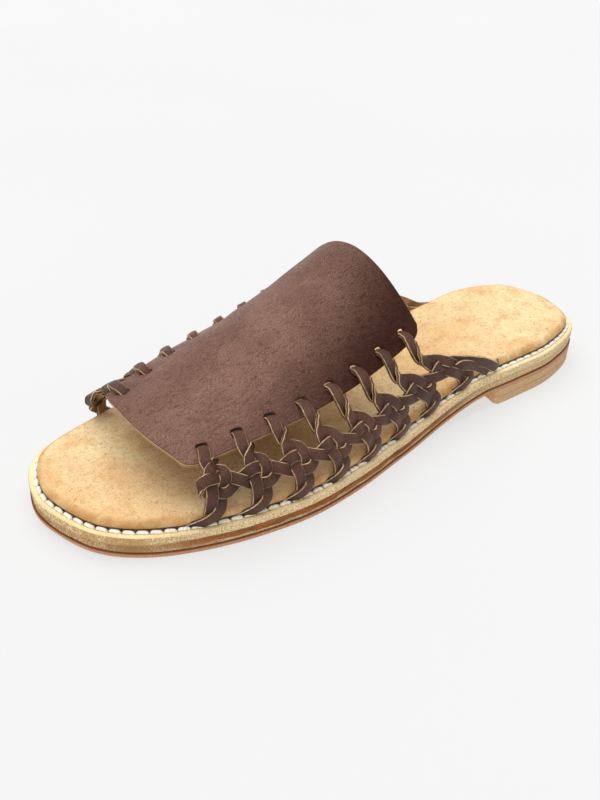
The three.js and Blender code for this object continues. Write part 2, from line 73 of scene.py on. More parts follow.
# Vamp stations: along, lateral edge and its height, crest and its height, medial edge and its height
VAMP_THICK = 2.0
VAMP = np.array([
    (116, 25.0, 45.0, -10.2, 78.5, -46.5, 49.5),
    (145, 31.0, 40.5, -7.6, 65.8, -44.2, 43.0),
    (175, 34.5, 37.2, -5.0, 53.0, -40.7, 38.0),
    (205, 33.8, 34.5, -2.5, 43.2, -36.3, 34.3),
    (237, 30.9, 31.5, 1.2, 36.0, -23.8, 33.3),
])
LATERAL, LATERAL_UP, CREST, CREST_UP, MEDIAL, MEDIAL_UP = range(6)
LATERAL_ROUND = 1.1
MEDIAL_ROUND = 0.78
# Cuts of the vamp at the crest, the lateral side and the medial side
FRONT_CUT = (236.6, 232.4, 235.4)
REAR_CUT = (124.5, 115, 123.5)
CORNER_FRONT = 6
CORNER_REAR = 5

# Braids: slots on each side, thongs, and slots with their height above the vamp's edge
UNITS = 8
THONG_WIDE = 4.5
THONG_THICK = 1.7
SLOT_WIDE = 4.8
SLOT_TALL = 4.8
SLOT_RISE = 5.5
SLOT_TURN = 6.2
# Wall that a braid follows: its lean on the vamp, its foot's inset on the welt and the pull of its curve
VAMP_LEAN = 0.75
BASE_INSET = 2.6
WALL_PULL = 0.35
# Crossings of the lengthwise thongs: share of the wall that each stands for, and its level above the welt.
# Both levels grow by a share for each slot behind the start.
LOWER_PART, LOWER_LEVEL = 0.37, 12
UPPER_PART, UPPER_LEVEL = 0.575, 17.4
GROWTH_START = 4.2
GROWTH = 0.12
# Length along a braid that counts as one slot, and reach of a knot
PITCH = 16
KNOT_REACH = 4
# Sides: sign across, slots and feet of the thongs with their pitch, spread of the feet towards the heel,
# belly of the wall, heelward shift of the knots, lift of the slots and its fade from slot to slot
SIDES = {
    "lateral": dict(sign=1, first_slot=221.9, slot_pitch=13.94, first_base=227, base_pitch=18.3,
                    spread=0.02, belly=1.5, knot_line=1.2, slot_lift=1, lift_fade=0),
    "medial": dict(sign=-1, first_slot=228.5, slot_pitch=13.6, first_base=233, base_pitch=18.2,
                   spread=0.05, belly=3.1, knot_line=2.4, slot_lift=1.35, lift_fade=0.09),
}
# Ways the smooth side of a thong can look: parts heelward, up the wall and out of the wall
FACES = {
    "out": (0, 0, 1), "heel_out": (1, 0, 1), "heel": (1, 0, 0), "heel_in": (1, 0, -1), "in": (0, 0, -1),
    "up": (0, 1, 0), "out_up": (0, 1, 1), "in_up": (0, 1, -1), "toe": (-1, 0, 0), "toe_out": (-1, 0, 1),
    "toe_in": (-1, 0, -1),
}
# A thong is squeezed where it turns
SQUEEZE = {"up": 0.8, "out_up": 0.9, "in_up": 0.9}
# Distance between the middles of a thong and of the vamp's leather that it lies on
VAMP_CLEAR = 0.1
ON_VAMP = VAMP_THICK / 2 + THONG_THICK / 2 + VAMP_CLEAR
# Route of a slot's thong: line (0 slot, 1 knot), heelward shift, share of the wall, added height, out, face
SLOT_THONG = [
    (1, -7.2, 0, -1.4, -1.9, "out"),
    (1, -5.2, 0, 0.6, -0.9, "out"),
    (1, -3.0, 0, 2.6, 0.3, "out"),
    (1, -0.9, 0, 4.6, 1.1, "out"),
    (1, 1.0, 0, 6.6, 0.7, "out"),
    (1, 1.8, 0.365, 0, -0.95, "out"),
    (1, 2.4, 0.47, 0, 0.0, "out"),
    (1, 2.8, 0.58, 0, 1.0, "out"),
    (1, 2.1, 0.68, 0, 0.3, "out"),
    (1, -1.4, 0.78, 0, -1.1, "out"),
    (0, -1.8, 1, -1.0, ON_VAMP, "out"),
    (0, -0.6, 1, 2.4, ON_VAMP, "out"),
    (0, 0, 1, 4.9, ON_VAMP * 0.85, "out_up"),
    (0, 0, 1, SLOT_TURN, 0, "up"),
    (0, 0.2, 1, 4.9, -ON_VAMP * 0.85, "in_up"),
    (0, 0.9, 1, 2.2, -ON_VAMP, "in"),
    (0, 2.4, 1, -1.2, -ON_VAMP * 0.9, "heel_in"),
    (0, 1.3, 0.92, 0, -0.1, "heel"),
    (0, 0.2, 0.84, 0, 0.8, "heel_out"),
    (0, -1.4, 0.74, 0, 1.1, "out"),
    (1, -2.6, 0.575, 0, -0.95, "out"),
    (1, -2.4, 0.47, 0, 0.0, "out"),
    (1, -2.2, 0.36, 0, 1.0, "out"),
    (1, -1.9, 0.24, 0, 0.2, "out"),
    (1, -1.6, 0, 3.4, -1.1, "out"),
    (1, -1.2, 0, 1.0, -1.7, "out"),
    (1, -0.8, 0, -1.2, -2.0, "out"),
]
# Route of a lengthwise thong past one slot: heelward shift, share of the wall, out
UPPER_WEFT = [(-2.6, 0.58, 1.0), (0.2, 0.58, 0.1), (2.8, 0.575, -0.95), (8.0, 0.485, 0.9)]
LOWER_WEFT = [(-2.2, 0.365, -0.95), (0.2, 0.365, 0.0), (2.8, 0.375, 1.0), (8.0, 0.475, -0.9)]
# Turn at the toe and tails at the heel: heelward shift, share of the wall, added height, out, face
TOE_TURN = [
    (-4.5, 0.575, 0, 1.0, "out"), (-6.1, 0.54, 0, 0.6, "toe_out"), (-6.5, 0.49, 0, -0.1, "toe"),
    (-5.5, 0.435, 0, -0.8, "toe_in"), (-3.8, 0.4, 0, -1.05, "in"), (-2.0, 0.38, 0, -1.0, "in_up"),
    (-0.4, 0.37, 0, -0.5, "out_up"),
]
UPPER_TAIL = [(8.5, 0.25, 0, 0.6, "out"), (13.0, 0, 2.4, -0.2, "out"), (15.5, 0, 1.6, -3.4, "out")]
LOWER_TAIL = [(5.4, 0.22, 0, 0.3, "out"), (9.0, 0, 2.4, -0.2, "out"), (11.0, 0, 1.6, -3.4, "out")]


# Plain helpers
def smooth(t):
    """Soft step from 0 to 1."""
    t = np.clip(t, 0, 1)
    return t * t * (3 - 2 * t)


def unit_vector(v):
    return v / norm(v)


def unit_rows(v):
    return v / norm(v, axis=1)[:, None]


# Shortest stretch that counts on a path
SHORTEST = 0.01


def smooth_path(points, steps, closed=False):
    """Centripetal curve through the points, with the given samples on each stretch."""
    points = np.asarray(points, float)
    if closed:
        ring = np.vstack([points[-1:], points, points[:2]])
    else:
        ring = np.vstack([2 * points[0] - points[1], points, 2 * points[-1] - points[-2]])
    t = np.linspace(0, 1, steps, endpoint=False)[:, None]
    out = []
    for p0, p1, p2, p3 in zip(ring, ring[1:], ring[2:], ring[3:]):
        d0, d1, d2 = (max(norm(b - a), SHORTEST) ** 0.5 for a, b in ((p0, p1), (p1, p2), (p2, p3)))
        m1 = ((p1 - p0) / d0 - (p2 - p0) / (d0 + d1) + (p2 - p1) / d1) * d1
        m2 = ((p2 - p1) / d1 - (p3 - p1) / (d1 + d2) + (p3 - p2) / d2) * d1
        start = (2 * t**3 - 3 * t**2 + 1) * p1 + (t**3 - 2 * t**2 + t) * m1
        out.append(start + (3 * t**2 - 2 * t**3) * p2 + (t**3 - t**2) * m2)
    if not closed:
        out.append(points[-1:])
    return np.vstack(out)


def wobble(points, size, scale, seed):
    """Soft seeded noise at each point, in millimetres."""
    shift = Vector((seed, 2 * seed, 3 * seed))
    return np.array([size * perlin.noise(Vector(p) * scale + shift) for p in points])


# Sole outline in foot places: along from the heel, across to the lateral side
OUTLINE_POINTS = [
    HEEL_TIP, *((along, lateral) for along, lateral, _ in OUTLINE),
    TOE_TIP, *((along, -medial) for along, _, medial in reversed(OUTLINE)),
]
LOOP = smooth_path(OUTLINE_POINTS, OUTLINE_STEPS, closed=True)
LOOP_TANGENT = unit_rows(np.roll(LOOP, -1, 0) - np.roll(LOOP, 1, 0))
LOOP_COUNT = len(LOOP)
HALF = LOOP_COUNT // 2
CENTRE_ALONG, CENTRE_ACROSS = (LOOP.min(0) + LOOP.max(0)) / 2


def place(along, across, up):
    """Foot places to the part's own frame."""
    return np.stack(np.broadcast_arrays(across - CENTRE_ACROSS, CENTRE_ALONG - along, up), -1).astype(float)


def inset_loop(inset):
    """Outline moved inwards, by one distance or by one for each point."""
    inset = np.broadcast_to(inset, LOOP_COUNT)
    return np.stack([LOOP[:, 0] + inset * LOOP_TANGENT[:, 1], LOOP[:, 1] - inset * LOOP_TANGENT[:, 0]], 1)


def sole_under(along):
    arch = HEEL_RISE * smooth((ARCH_FRONT - along) / (ARCH_FRONT - SEAT_FRONT))
    spring = np.maximum(0, (along - SPRING_START) / (TOE_TIP[0] - SPRING_START))
    return arch + TOE_SPRING * spring**2


def welt_top(along):
    return sole_under(along) + SOLE_THICK


BASE_LOOP = inset_loop(BASE_INSET)


def base_reach(sign, along):
    """Place across of a thong's foot on one side."""
    side = BASE_LOOP[: HALF + 1] if sign > 0 else np.vstack([BASE_LOOP[:1], BASE_LOOP[HALF:][::-1]])
    return np.interp(along, side[:, 0], side[:, 1])


# Vamp surface: share runs from -1 at the medial edge over 0 at the crest to 1 at the lateral edge
VAMP_SLOPES = np.zeros_like(VAMP[:, 1:])
for row in range(len(VAMP)):
    low, high = max(row - 1, 0), min(row + 1, len(VAMP) - 1)
    VAMP_SLOPES[row] = (VAMP[high, 1:] - VAMP[low, 1:]) / (VAMP[high, 0] - VAMP[low, 0])


def vamp_columns(along):
    """Edges and crest of the vamp between its stations."""
    row = int(np.clip(np.searchsorted(VAMP[:, 0], along), 1, len(VAMP) - 1))
    low, high = VAMP[row - 1], VAMP[row]
    span = high[0] - low[0]
    t = (along - low[0]) / span
    start = (1 + 2 * t) * (1 - t) ** 2 * low[1:] + t * (1 - t) ** 2 * span * VAMP_SLOPES[row - 1]
    return start + t * t * (3 - 2 * t) * high[1:] + t * t * (t - 1) * span * VAMP_SLOPES[row]


def vamp_face(along, share):
    """Point on the outer face of the vamp."""
    row = vamp_columns(along)
    side, side_up, rounding = LATERAL, LATERAL_UP, LATERAL_ROUND
    if share < 0:
        side, side_up, rounding = MEDIAL, MEDIAL_UP, MEDIAL_ROUND
    reach = abs(share)
    across = row[CREST] + (row[side] - row[CREST]) * reach
    drop = rounding * reach**2 + (1 - rounding) * reach**4
    return place(along, across, row[CREST_UP] - (row[CREST_UP] - row[side_up]) * drop)


# Small steps for measuring directions
PROBE_ALONG = 1
PROBE_SHARE = 0.01
PROBE_WALL = 0.05


def vamp_normal(along, share):
    fore = vamp_face(along + PROBE_ALONG, share) - vamp_face(along - PROBE_ALONG, share)
    side = vamp_face(along, share + PROBE_SHARE) - vamp_face(along, share - PROBE_SHARE)
    normal = unit_vector(np.cross(side, fore))
    return normal if normal[2] > 0 else -normal


def vamp_point(along, share, depth):
    return vamp_face(along, share) - depth * vamp_normal(along, share)


def edge_rate(sign, along):
    """Millimetres on the vamp for each unit of share at its edge."""
    step = vamp_face(along, sign) - vamp_face(along, sign * (1 - PROBE_SHARE))
    return norm(step) / PROBE_SHARE


def cut_along(cut, share):
    return cut[0] + (cut[1 if share >= 0 else 2] - cut[0]) * share**2


def corner_draw(radius, distance):
    """How far a rounded corner draws the edge in at a distance from the cut."""
    short = max(0, radius - distance)
    return radius - math.sqrt(max(0, radius**2 - short**2))


def slot_lift(side, unit):
    return side["slot_lift"] - side["lift_fade"] * unit


# Braid wall from the welt to the vamp's edge, and on up the middle of the vamp's leather
def wall_at(side, unit):
    """Edge place, lean, height and curve of the wall at one place along the braid."""
    sign = side["sign"]
    slot_along = side["first_slot"] - side["slot_pitch"] * unit
    base_along = side["first_base"] - side["base_pitch"] * unit - side["spread"] * max(unit, 0) ** 3
    base = place(base_along, base_reach(sign, base_along), welt_top(base_along))
    lean = VAMP_LEAN * (slot_along - base_along) / norm(base - vamp_face(slot_along, sign))
    edge_along = slot_along - lean * SLOT_TURN * slot_lift(side, unit)
    edge = vamp_point(edge_along, sign, VAMP_THICK / 2)
    inner = vamp_point(edge_along, sign * (1 - PROBE_SHARE), VAMP_THICK / 2)
    height = norm(edge - base)
    pull = height * WALL_PULL
    low = base + np.array([sign * side["belly"], 0, pull])
    high = edge + unit_vector(edge - inner) * pull
    return edge_along, lean, height, (base, low, high, edge)


def wall_point(side, unit, level):
    edge_along, lean, height, (a, b, c, d) = wall_at(side, unit)
    if level <= height:
        t = level / height
        return (1 - t) ** 3 * a + 3 * t * (1 - t) ** 2 * b + 3 * t * t * (1 - t) * c + t**3 * d
    rise = level - height
    share = 1 - rise / edge_rate(side["sign"], edge_along)
    return vamp_point(edge_along + lean * rise, side["sign"] * share, VAMP_THICK / 2)


def wall_height(side, unit):
    return wall_at(side, unit)[2]


def wall_frame(side, unit, level):
    """Directions heelward along the wall, up it and out of it."""
    ahead, behind = (wall_point(side, unit + step, level) for step in (PROBE_WALL, -PROBE_WALL))
    over, under = (wall_point(side, unit, level + step) for step in (PROBE_WALL, -PROBE_WALL))
    heelward = unit_vector(ahead - behind)
    outward = unit_vector(np.cross(heelward, unit_vector(over - under))) * side["sign"]
    upward = np.cross(outward, heelward) * side["sign"]
    return heelward, upward, outward


def wall_level(side, spot, part):
    """Level on the wall that a share of it stands for."""
    growth = 1 + GROWTH * max(0, spot - GROWTH_START)
    levels = (0, LOWER_LEVEL * growth, UPPER_LEVEL * growth, wall_height(side, spot))
    return float(np.interp(part, (0, LOWER_PART, UPPER_PART, 1), levels))


# The leather is drawn in round each slot by its tight thong
PUCKER_DEEP = 0.9
PUCKER_WIDE = 4.5


def pucker(distance):
    return PUCKER_DEEP * np.exp(-((distance / PUCKER_WIDE) ** 2))


def slot_centre(side, unit):
    level = wall_height(side, unit) + SLOT_RISE * slot_lift(side, unit)
    return wall_point(side, unit, level), wall_frame(side, unit, level)


# A thong that lies further in than the start is tucked under its neighbours, and painted shade darkens it
# there
TUCK_SHADE_START = 0.7
TUCK_SHADE_SOFT = 1.4


def thong_spot(side, unit, line, shift, part, up, out, face, mirrored=True):
    """One row of a thong's route: point, look of its face, place along the braid, squeeze, and strength of
    painted shade where it is tucked.
    """
    turn = side["sign"] if mirrored else 1
    spot = unit + (line * side["knot_line"] + turn * shift) / PITCH
    lift = slot_lift(side, unit) if part == 1 else 1
    level = wall_level(side, spot, part) + up * lift
    tuck_shading = 0 if part == 1 else float(smooth((TUCK_SHADE_START - out) / TUCK_SHADE_SOFT))
    if part == 1:
        out = out - pucker(math.hypot(shift, (up - SLOT_RISE) * lift))
    heelward, upward, outward = wall_frame(side, spot, level)
    parts = FACES[face]
    look = unit_vector(heelward * parts[0] * turn + upward * parts[1] + outward * parts[2])
    return wall_point(side, spot, level) + out * outward, look, spot, SQUEEZE.get(face, 1), tuck_shading


# Mesh making
def new_object(name, data):
    made = bpy.data.objects.new(name, data)
    bpy.context.scene.collection.objects.link(made)
    return made


def new_mesh(name, points, faces, materials):
    mesh = bpy.data.meshes.new(name)
    mesh.from_pydata((np.asarray(points) * MM).tolist(), [], faces)
    mesh.validate()
    for material in materials:
        mesh.materials.append(material)
    work = bmesh.new()
    work.from_mesh(mesh)
    bmesh.ops.recalc_face_normals(work, faces=work.faces)
    work.to_mesh(mesh)
    work.free()
    mesh.shade_smooth()
    return new_object(name, mesh)


def add_values(piece, name, values):
    layer = piece.data.attributes.new(name, "FLOAT", "POINT")
    layer.data.foreach_set("value", np.asarray(values, np.float32))


def take_place(piece, slot, *nodes):
    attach(piece, "root")
    if nodes:
        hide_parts(*nodes)


def tube_faces(first, rows, count):
    """Quads between rows of points, each row a closed ring, numbered from the first point on."""
    faces = []
    for row in range(rows - 1):
        low = first + row * count
        for k in range(count):
            after = (k + 1) % count
            faces.append((low + k, low + after, low + count + after, low + count + k))
    return faces


def closed_tube(first, rows, count):
    """The same with a flat face on each end."""
    last = first + (rows - 1) * count
    ends = [list(range(start, start + count)) for start in (first, last)]
    return tube_faces(first, rows, count) + ends


CAP_COLUMNS = 24


def ring_solid(name, rings, materials, crown=None):
    """Solid through rings of foot places (along, across, up), closed over the top and under the bottom."""
    points = list(rings)
    faces = tube_faces(0, len(rings), LOOP_COUNT)
    count = len(rings) * LOOP_COUNT
    shares = np.linspace(0, 1, CAP_COLUMNS + 1)[1:-1, None]
    for level in (0, len(rings) - 1):
        ring = rings[level]
        first = level * LOOP_COUNT
        rows = [[first] * (CAP_COLUMNS + 1)]
        for index in range(1, HALF):
            middle = ring[index] * (1 - shares) + ring[LOOP_COUNT - index] * shares
            if level and crown is not None:
                middle[:, 2] += crown(middle[:, 0], middle[:, 1], shares[:, 0])
            points.append(middle)
            inner = list(range(count, count + len(middle)))
            rows.append([first + index, *inner, first + LOOP_COUNT - index])
            count += len(middle)
        rows.append([first + HALF] * (CAP_COLUMNS + 1))
        for near, far in zip(rows, rows[1:]):
            for k in range(CAP_COLUMNS):
                corners = list(dict.fromkeys([near[k], near[k + 1], far[k + 1], far[k]]))
                if len(corners) > 2:
                    faces.append(corners)
    foot = np.vstack(points)
    return new_mesh(name, place(*foot.T), faces, materials), foot


# Unevenness of a trimmed edge: its scale, and how much more height counts in it than length
TRIM_SCALE = 0.12
TRIM_RISE = 4.0


def sole_rings(profile, reach, base, seed, rough):
    """Rings of a sole layer from rows of inset and height, with the small unevenness of a trimmed edge."""
    rings = []
    for inset, up in profile:
        loop = inset_loop(inset - reach)
        spots = np.column_stack([loop, np.full(LOOP_COUNT, up * TRIM_RISE)])
        bumps = wobble(spots, rough, TRIM_SCALE, seed)
        loop = inset_loop(inset - reach + np.abs(bumps))
        rings.append(np.column_stack([loop, sole_under(loop[:, 0]) + base + up]))
    return rings


# Materials: texture scales count waves in a metre, colours are screen colours
def linear(hex_colour):
    """Screen colour as written in hexadecimal to the linear values that shaders use."""
    parts = [int(hex_colour[k : k + 2], 16) / 255 for k in (0, 2, 4)]
    values = [p / 12.92 if p <= 0.04045 else ((p + 0.055) / 1.055) ** 2.4 for p in parts]
    return (*values, 1)


class Nodes:
    """One procedural material, built node by node."""

    def __init__(self, name):
        self.material = bpy.data.materials.new(name)
        self.material.use_nodes = True
        self.tree = self.material.node_tree
        self.shader = self.tree.nodes["Principled BSDF"]
        self.place = self.add("ShaderNodeTexCoord").outputs["Object"]

    def add(self, kind, **settings):
        node = self.tree.nodes.new(kind)
        for key, value in settings.items():
            setattr(node, key, value)
        return node

    def join(self, source, socket):
        """Link a socket to another, or give it a value or a colour."""
        if isinstance(source, bpy.types.NodeSocket):
            self.tree.links.new(source, socket)
        else:
            socket.default_value = linear(source) if isinstance(source, str) else source

    def fill(self, node, **values):
        for key, value in values.items():
            self.join(value, node.inputs[key.replace("_", " ")])

    def set(self, **values):
        self.fill(self.shader, **values)

    def stretched(self, y, z, turn):
        node = self.add("ShaderNodeMapping")
        self.fill(node, Vector=self.place, Scale=(1, y, z), Rotation=(0, 0, math.radians(turn)))
        return node.outputs["Vector"]

    def noise(self, scale, detail=4, rough=0.55, vector=None, distortion=0):
        node = self.add("ShaderNodeTexNoise")
        self.fill(node, Vector=vector or self.place, Scale=scale)
        self.fill(node, Detail=detail, Roughness=rough, Distortion=distortion)
        return node.outputs["Fac"]

    def cell_edges(self, scale, vector):
        node = self.add("ShaderNodeTexVoronoi", feature="DISTANCE_TO_EDGE")
        self.fill(node, Vector=vector, Scale=scale)
        return node.outputs["Distance"]

    def value(self, name):
        return self.add("ShaderNodeAttribute", attribute_name=name).outputs["Fac"]

    def along_edge(self, run, up):
        """Texture place that follows a sole's edge, with its length and height stretched."""
        node = self.add("ShaderNodeCombineXYZ")
        self.fill(node, X=self.times(self.value("run"), run), Y=self.times(self.value("above"), up))
        return node.outputs[0]

    def axis(self, index, source=None):
        node = self.add("ShaderNodeSeparateXYZ")
        self.fill(node, Vector=source or self.place)
        return node.outputs[index]

    def facing_up(self):
        return self.axis(2, self.add("ShaderNodeNewGeometry").outputs["Normal"])

    def math(self, operation, a, b):
        node = self.add("ShaderNodeMath", operation=operation)
        self.join(a, node.inputs[0])
        self.join(b, node.inputs[1])
        return node.outputs[0]

    def plus(self, a, b):
        return self.math("ADD", a, b)

    def times(self, a, b):
        return self.math("MULTIPLY", a, b)

    def span(self, source, low, high, to_low=0, to_high=1):
        """Soft change between two values while the source goes from low to high."""
        node = self.add("ShaderNodeMapRange", interpolation_type="SMOOTHSTEP")
        self.fill(node, Value=source, From_Min=low, From_Max=high, To_Min=to_low, To_Max=to_high)
        return node.outputs["Result"]

    def ramp(self, source, *stops):
        node = self.add("ShaderNodeValToRGB")
        self.fill(node, Fac=source)
        elements = node.color_ramp.elements
        while len(elements) < len(stops):
            elements.new(0.5)
        for element, (position, colour) in zip(elements, stops):
            element.position = position
            element.color = linear(colour)
        return node.outputs["Color"]

    def mix(self, factor, a, b, blend="MIX"):
        node = self.add("ShaderNodeMix", data_type="RGBA", blend_type=blend)
        self.join(factor, node.inputs["Factor"])
        self.join(a, node.inputs[6])
        self.join(b, node.inputs[7])
        return node.outputs[2]

    def bump(self, height, strength, distance):
        node = self.add("ShaderNodeBump")
        self.fill(node, Height=height, Strength=strength, Distance=distance)
        return node.outputs["Normal"]


def grain_leather(name, dark, light, crease_shade, fine, shade_and_glint, deep):
    """Dark full-grain leather: fine pebbles in short drawn rows over mottled dye, with painted shade in the
    grain's creases and painted glints on the pebbles.
    """
    n = Nodes(name)
    cloudy = n.noise(38)
    pebbles = n.noise(1550 * fine, 3, 0.65, distortion=0.3)
    wrinkles = n.noise(950 * fine, 4, 0.65, vector=n.stretched(0.35, 0.6, 40), distortion=0.5)
    cells = n.span(n.cell_edges(1400 * fine, n.stretched(0.65, 0.8, 40)), 0, 0.25)
    colour = n.mix(n.span(cloudy, 0.35, 0.68), dark, light)
    # Painted shade darkens the grain's creases
    colour = n.mix(n.span(cells, 0, 0.7, shade_and_glint, 0), colour, crease_shade)
    colour = n.mix(n.span(wrinkles, 0.36, 0.5, shade_and_glint, 0), colour, crease_shade)
    # Painted glints: lighter specks on the tops of the pebbles stand in for highlights
    colour = n.mix(n.span(pebbles, 0.54, 0.68, 0, shade_and_glint), colour, "a58373")
    height = n.plus(n.times(cells, 0.5), n.times(wrinkles, 1.5))
    height = n.plus(height, pebbles)
    n.set(Normal=n.bump(height, 1, deep), Specular_Tint=(1.0, 0.82, 0.7, 1))
    return n, colour, pebbles


def vamp_grain():
    """Leather of the vamp, darkened by painted shade and made less glossy towards its rear lateral corner."""
    n, colour, pebbles = grain_leather(
        "vamp_grain", "835b4c", "a07665", "33190f", fine=1, shade_and_glint=0.45, deep=0.0005)
    # Painted shade: the colour is multiplied darker towards the rear lateral corner, where the gloss is
    # lowered too
    shaded_corner = n.plus(n.times(n.axis(1), 0.6), n.times(n.axis(0), 1.2))
    colour = n.mix(n.span(shaded_corner, -0.016, 0.031, 0, 0.94), colour, "7f5648", "MULTIPLY")
    n.set(Base_Color=colour, Specular_IOR_Level=n.span(shaded_corner, -0.018, 0.03, 0.4, 0.14))
    n.set(Roughness=n.span(pebbles, 0.35, 0.65, 0.5, 0.34))
    return n.material


def thong_leather():
    """Leather of the thongs: darkened by painted shade where tucked in, pale layers along both cut edges, a
    rough flesh side.
    """
    n, colour, _ = grain_leather(
        "thong_leather", "4c2518", "663a28", "1c0e07", fine=1.5, shade_and_glint=0.26, deep=0.0002)
    # Painted shade darkens each thong where it is tucked under its neighbours
    colour = n.mix(n.times(n.value("tuck_shade"), 0.85), colour, "21110a")
    broken = n.span(n.noise(160, 3, 0.6), 0.36, 0.6, 0.55, 1)
    edge = n.mix(n.span(n.noise(1100, 3), 0.35, 0.7), "e6cba0", "b59064")
    colour = n.mix(n.times(n.span(n.value("cut"), 0.3, 0.75), broken), colour, edge)
    flesh = n.mix(n.span(n.noise(300), 0.3, 0.7), "7d5c3c", "a07b52")
    n.set(Base_Color=n.mix(n.value("back"), colour, flesh))
    n.set(Roughness=n.span(n.value("cut"), 0, 0.5, 0.32, 0.8), Specular_IOR_Level=0.5)
    return n.material


def vamp_rim_leather():
    """Cut rim and flesh side of the vamp: two pale layers with a dark seam between them."""
    n = Nodes("vamp_rim")
    fuzz = n.noise(700)
    depth = n.plus(n.value("depth"), n.times(n.plus(fuzz, -0.5), 0.08))
    layers = n.ramp(
        depth,
        (0, "3a231e"), (0.06, "4a2d22"), (0.14, "dbb98a"), (0.36, "c79f6c"),
        (0.44, "4b3020"), (0.52, "5a3b26"), (0.6, "d0aa74"), (1, "a98351"),
    )
    colour = n.mix(n.span(n.noise(120), 0.3, 0.75, 0, 0.4), layers, "7d5c38")
    n.set(Base_Color=colour, Roughness=0.9, Specular_IOR_Level=0.2, Sheen_Weight=0.15)
    n.set(Normal=n.bump(n.noise(2600, 3), 0.4, 0.0003))
    return n.material


def suede():
    """Nappy ochre insole, mottled cream and orange with dark hairs, browner on its rolled edge, and darkened
    by painted shade low on the roll where it sinks into the crack by the welt.
    """
    n = Nodes("insole_suede")
    patches = n.noise(24, 4, 0.6, distortion=0.5)
    blotches = n.noise(95, 5, 0.7)
    clumps = n.noise(480, 5, 0.75, distortion=0.5)
    hairs = n.noise(1250, 4, 0.7, vector=n.stretched(0.5, 1, 25), distortion=1.2)
    down = n.noise(1700, 4, 0.75)
    colour = n.mix(n.span(patches, 0.36, 0.66), "f6dca8", "eec48c")
    colour = n.mix(n.span(blotches, 0.45, 0.68, 0, 0.6), colour, "e0a565")
    colour = n.mix(n.span(clumps, 0.5, 0.66, 0, 0.45), colour, "c68d50")
    colour = n.mix(n.span(down, 0.5, 0.66, 0, 0.6), colour, "fff0c6")
    colour = n.mix(n.span(hairs, 0.55, 0.68, 0, 0.65), colour, "8a5c2e")
    edge = n.times(n.value("rim"), n.span(n.noise(160), 0.3, 0.65, 0.2, 0.75))
    colour = n.mix(edge, colour, "c58b4c")
    # Painted shade darkens the low part of the roll inside the crack by the welt
    colour = n.mix(n.value("low"), colour, "4a2f19")
    n.set(Base_Color=colour, Roughness=0.95, Specular_IOR_Level=0.15)
    n.set(Sheen_Weight=0.1, Sheen_Roughness=0.5)
    height = n.plus(n.plus(down, clumps), n.times(hairs, -0.8))
    n.set(Normal=n.bump(height, 0.75, 0.0005))
    return n.material


def sole_edge(name, top, light, dark, toe=None, stain=None, line=None):
    """Cut edge of a sole leather: pale top, fuzzy speckled side, a shaded toe and streaks of stain."""
    n = Nodes(name)
    specks = n.noise(1700, 4, 0.75)
    flecks = n.noise(1000, 4, 0.75)
    cloudy = n.noise(42, 4, 0.6)
    side = n.mix(n.span(specks, 0.43, 0.58), light, dark)
    side = n.mix(n.span(flecks, 0.55, 0.66, 0, 0.55), side, "8d6632")
    if toe:
        forward = n.span(n.axis(1), -0.128, -0.078, 1, 0)
        patchy = n.span(n.plus(cloudy, n.times(specks, 0.6)), 0.62, 0.88)
        side = n.mix(n.times(forward, patchy), side, toe)
    if stain:
        streaks = n.noise(0.8, 5, 0.7, vector=n.along_edge(0.14, 1))
        long_streaks = n.noise(0.5, 4, 0.65, vector=n.along_edge(0.06, 1.6))
        heel_fade = n.span(n.axis(1), 0.015, 0.07, 1, 0)
        toe_fade = n.span(n.axis(1), -0.122, -0.088, 0.1, 1)
        ragged = n.plus(n.value("stain"), n.times(n.plus(streaks, -0.5), 1.8))
        strength = n.times(n.times(heel_fade, toe_fade), n.span(ragged, 0.25, 0.65))
        dye = n.mix(n.span(streaks, 0.44, 0.58), stain, "a8642c")
        dye = n.mix(n.span(long_streaks, 0.5, 0.62, 0, 0.85), dye, "54290f")
        dye = n.mix(n.span(flecks, 0.56, 0.68, 0, 0.45), dye, "d0a068")
        side = n.mix(strength, side, dye)
    face = n.mix(n.span(cloudy, 0.3, 0.7), top, light)
    face = n.mix(n.span(specks, 0.46, 0.64, 0, 0.5), face, dark)
    colour = n.mix(n.span(n.facing_up(), 0.55, 0.85), side, face)
    if line:
        colour = n.mix(n.value("line"), colour, line)
    n.set(Base_Color=colour, Roughness=n.span(specks, 0.3, 0.7, 0.6, 0.9), Specular_IOR_Level=0.3)
    height = n.plus(specks, n.times(flecks, 0.6))
    n.set(Normal=n.bump(height, 0.5, 0.0004))
    return n.material


def thread():
    """Plump white waxed thread with a fine twist."""
    n = Nodes("white_thread")
    twist = n.noise(1100, 2, 0.5)
    colour = n.mix(n.span(twist, 0.35, 0.7), "fbf6ea", "e6dac2")
    n.set(Base_Color=colour, Roughness=0.65, Specular_IOR_Level=0.3, Sheen_Weight=0.1)
    n.set(Normal=n.bump(twist, 0.12, 0.0002))
    return n.material


# The floor is a light table: a part of its brightness is its own, so shadows on it stay pale
FLOOR_GLOW = 0.63


def studio_floor():
    n = Nodes("floor_paint")
    colour = n.mix(n.span(n.noise(3, 2), 0.3, 0.7), "808080", "7e7e7e")
    n.set(Base_Color=colour, Roughness=0.85, Specular_IOR_Level=0.1)
    n.set(Emission_Color="ffffff", Emission_Strength=FLOOR_GLOW)
    return n.material


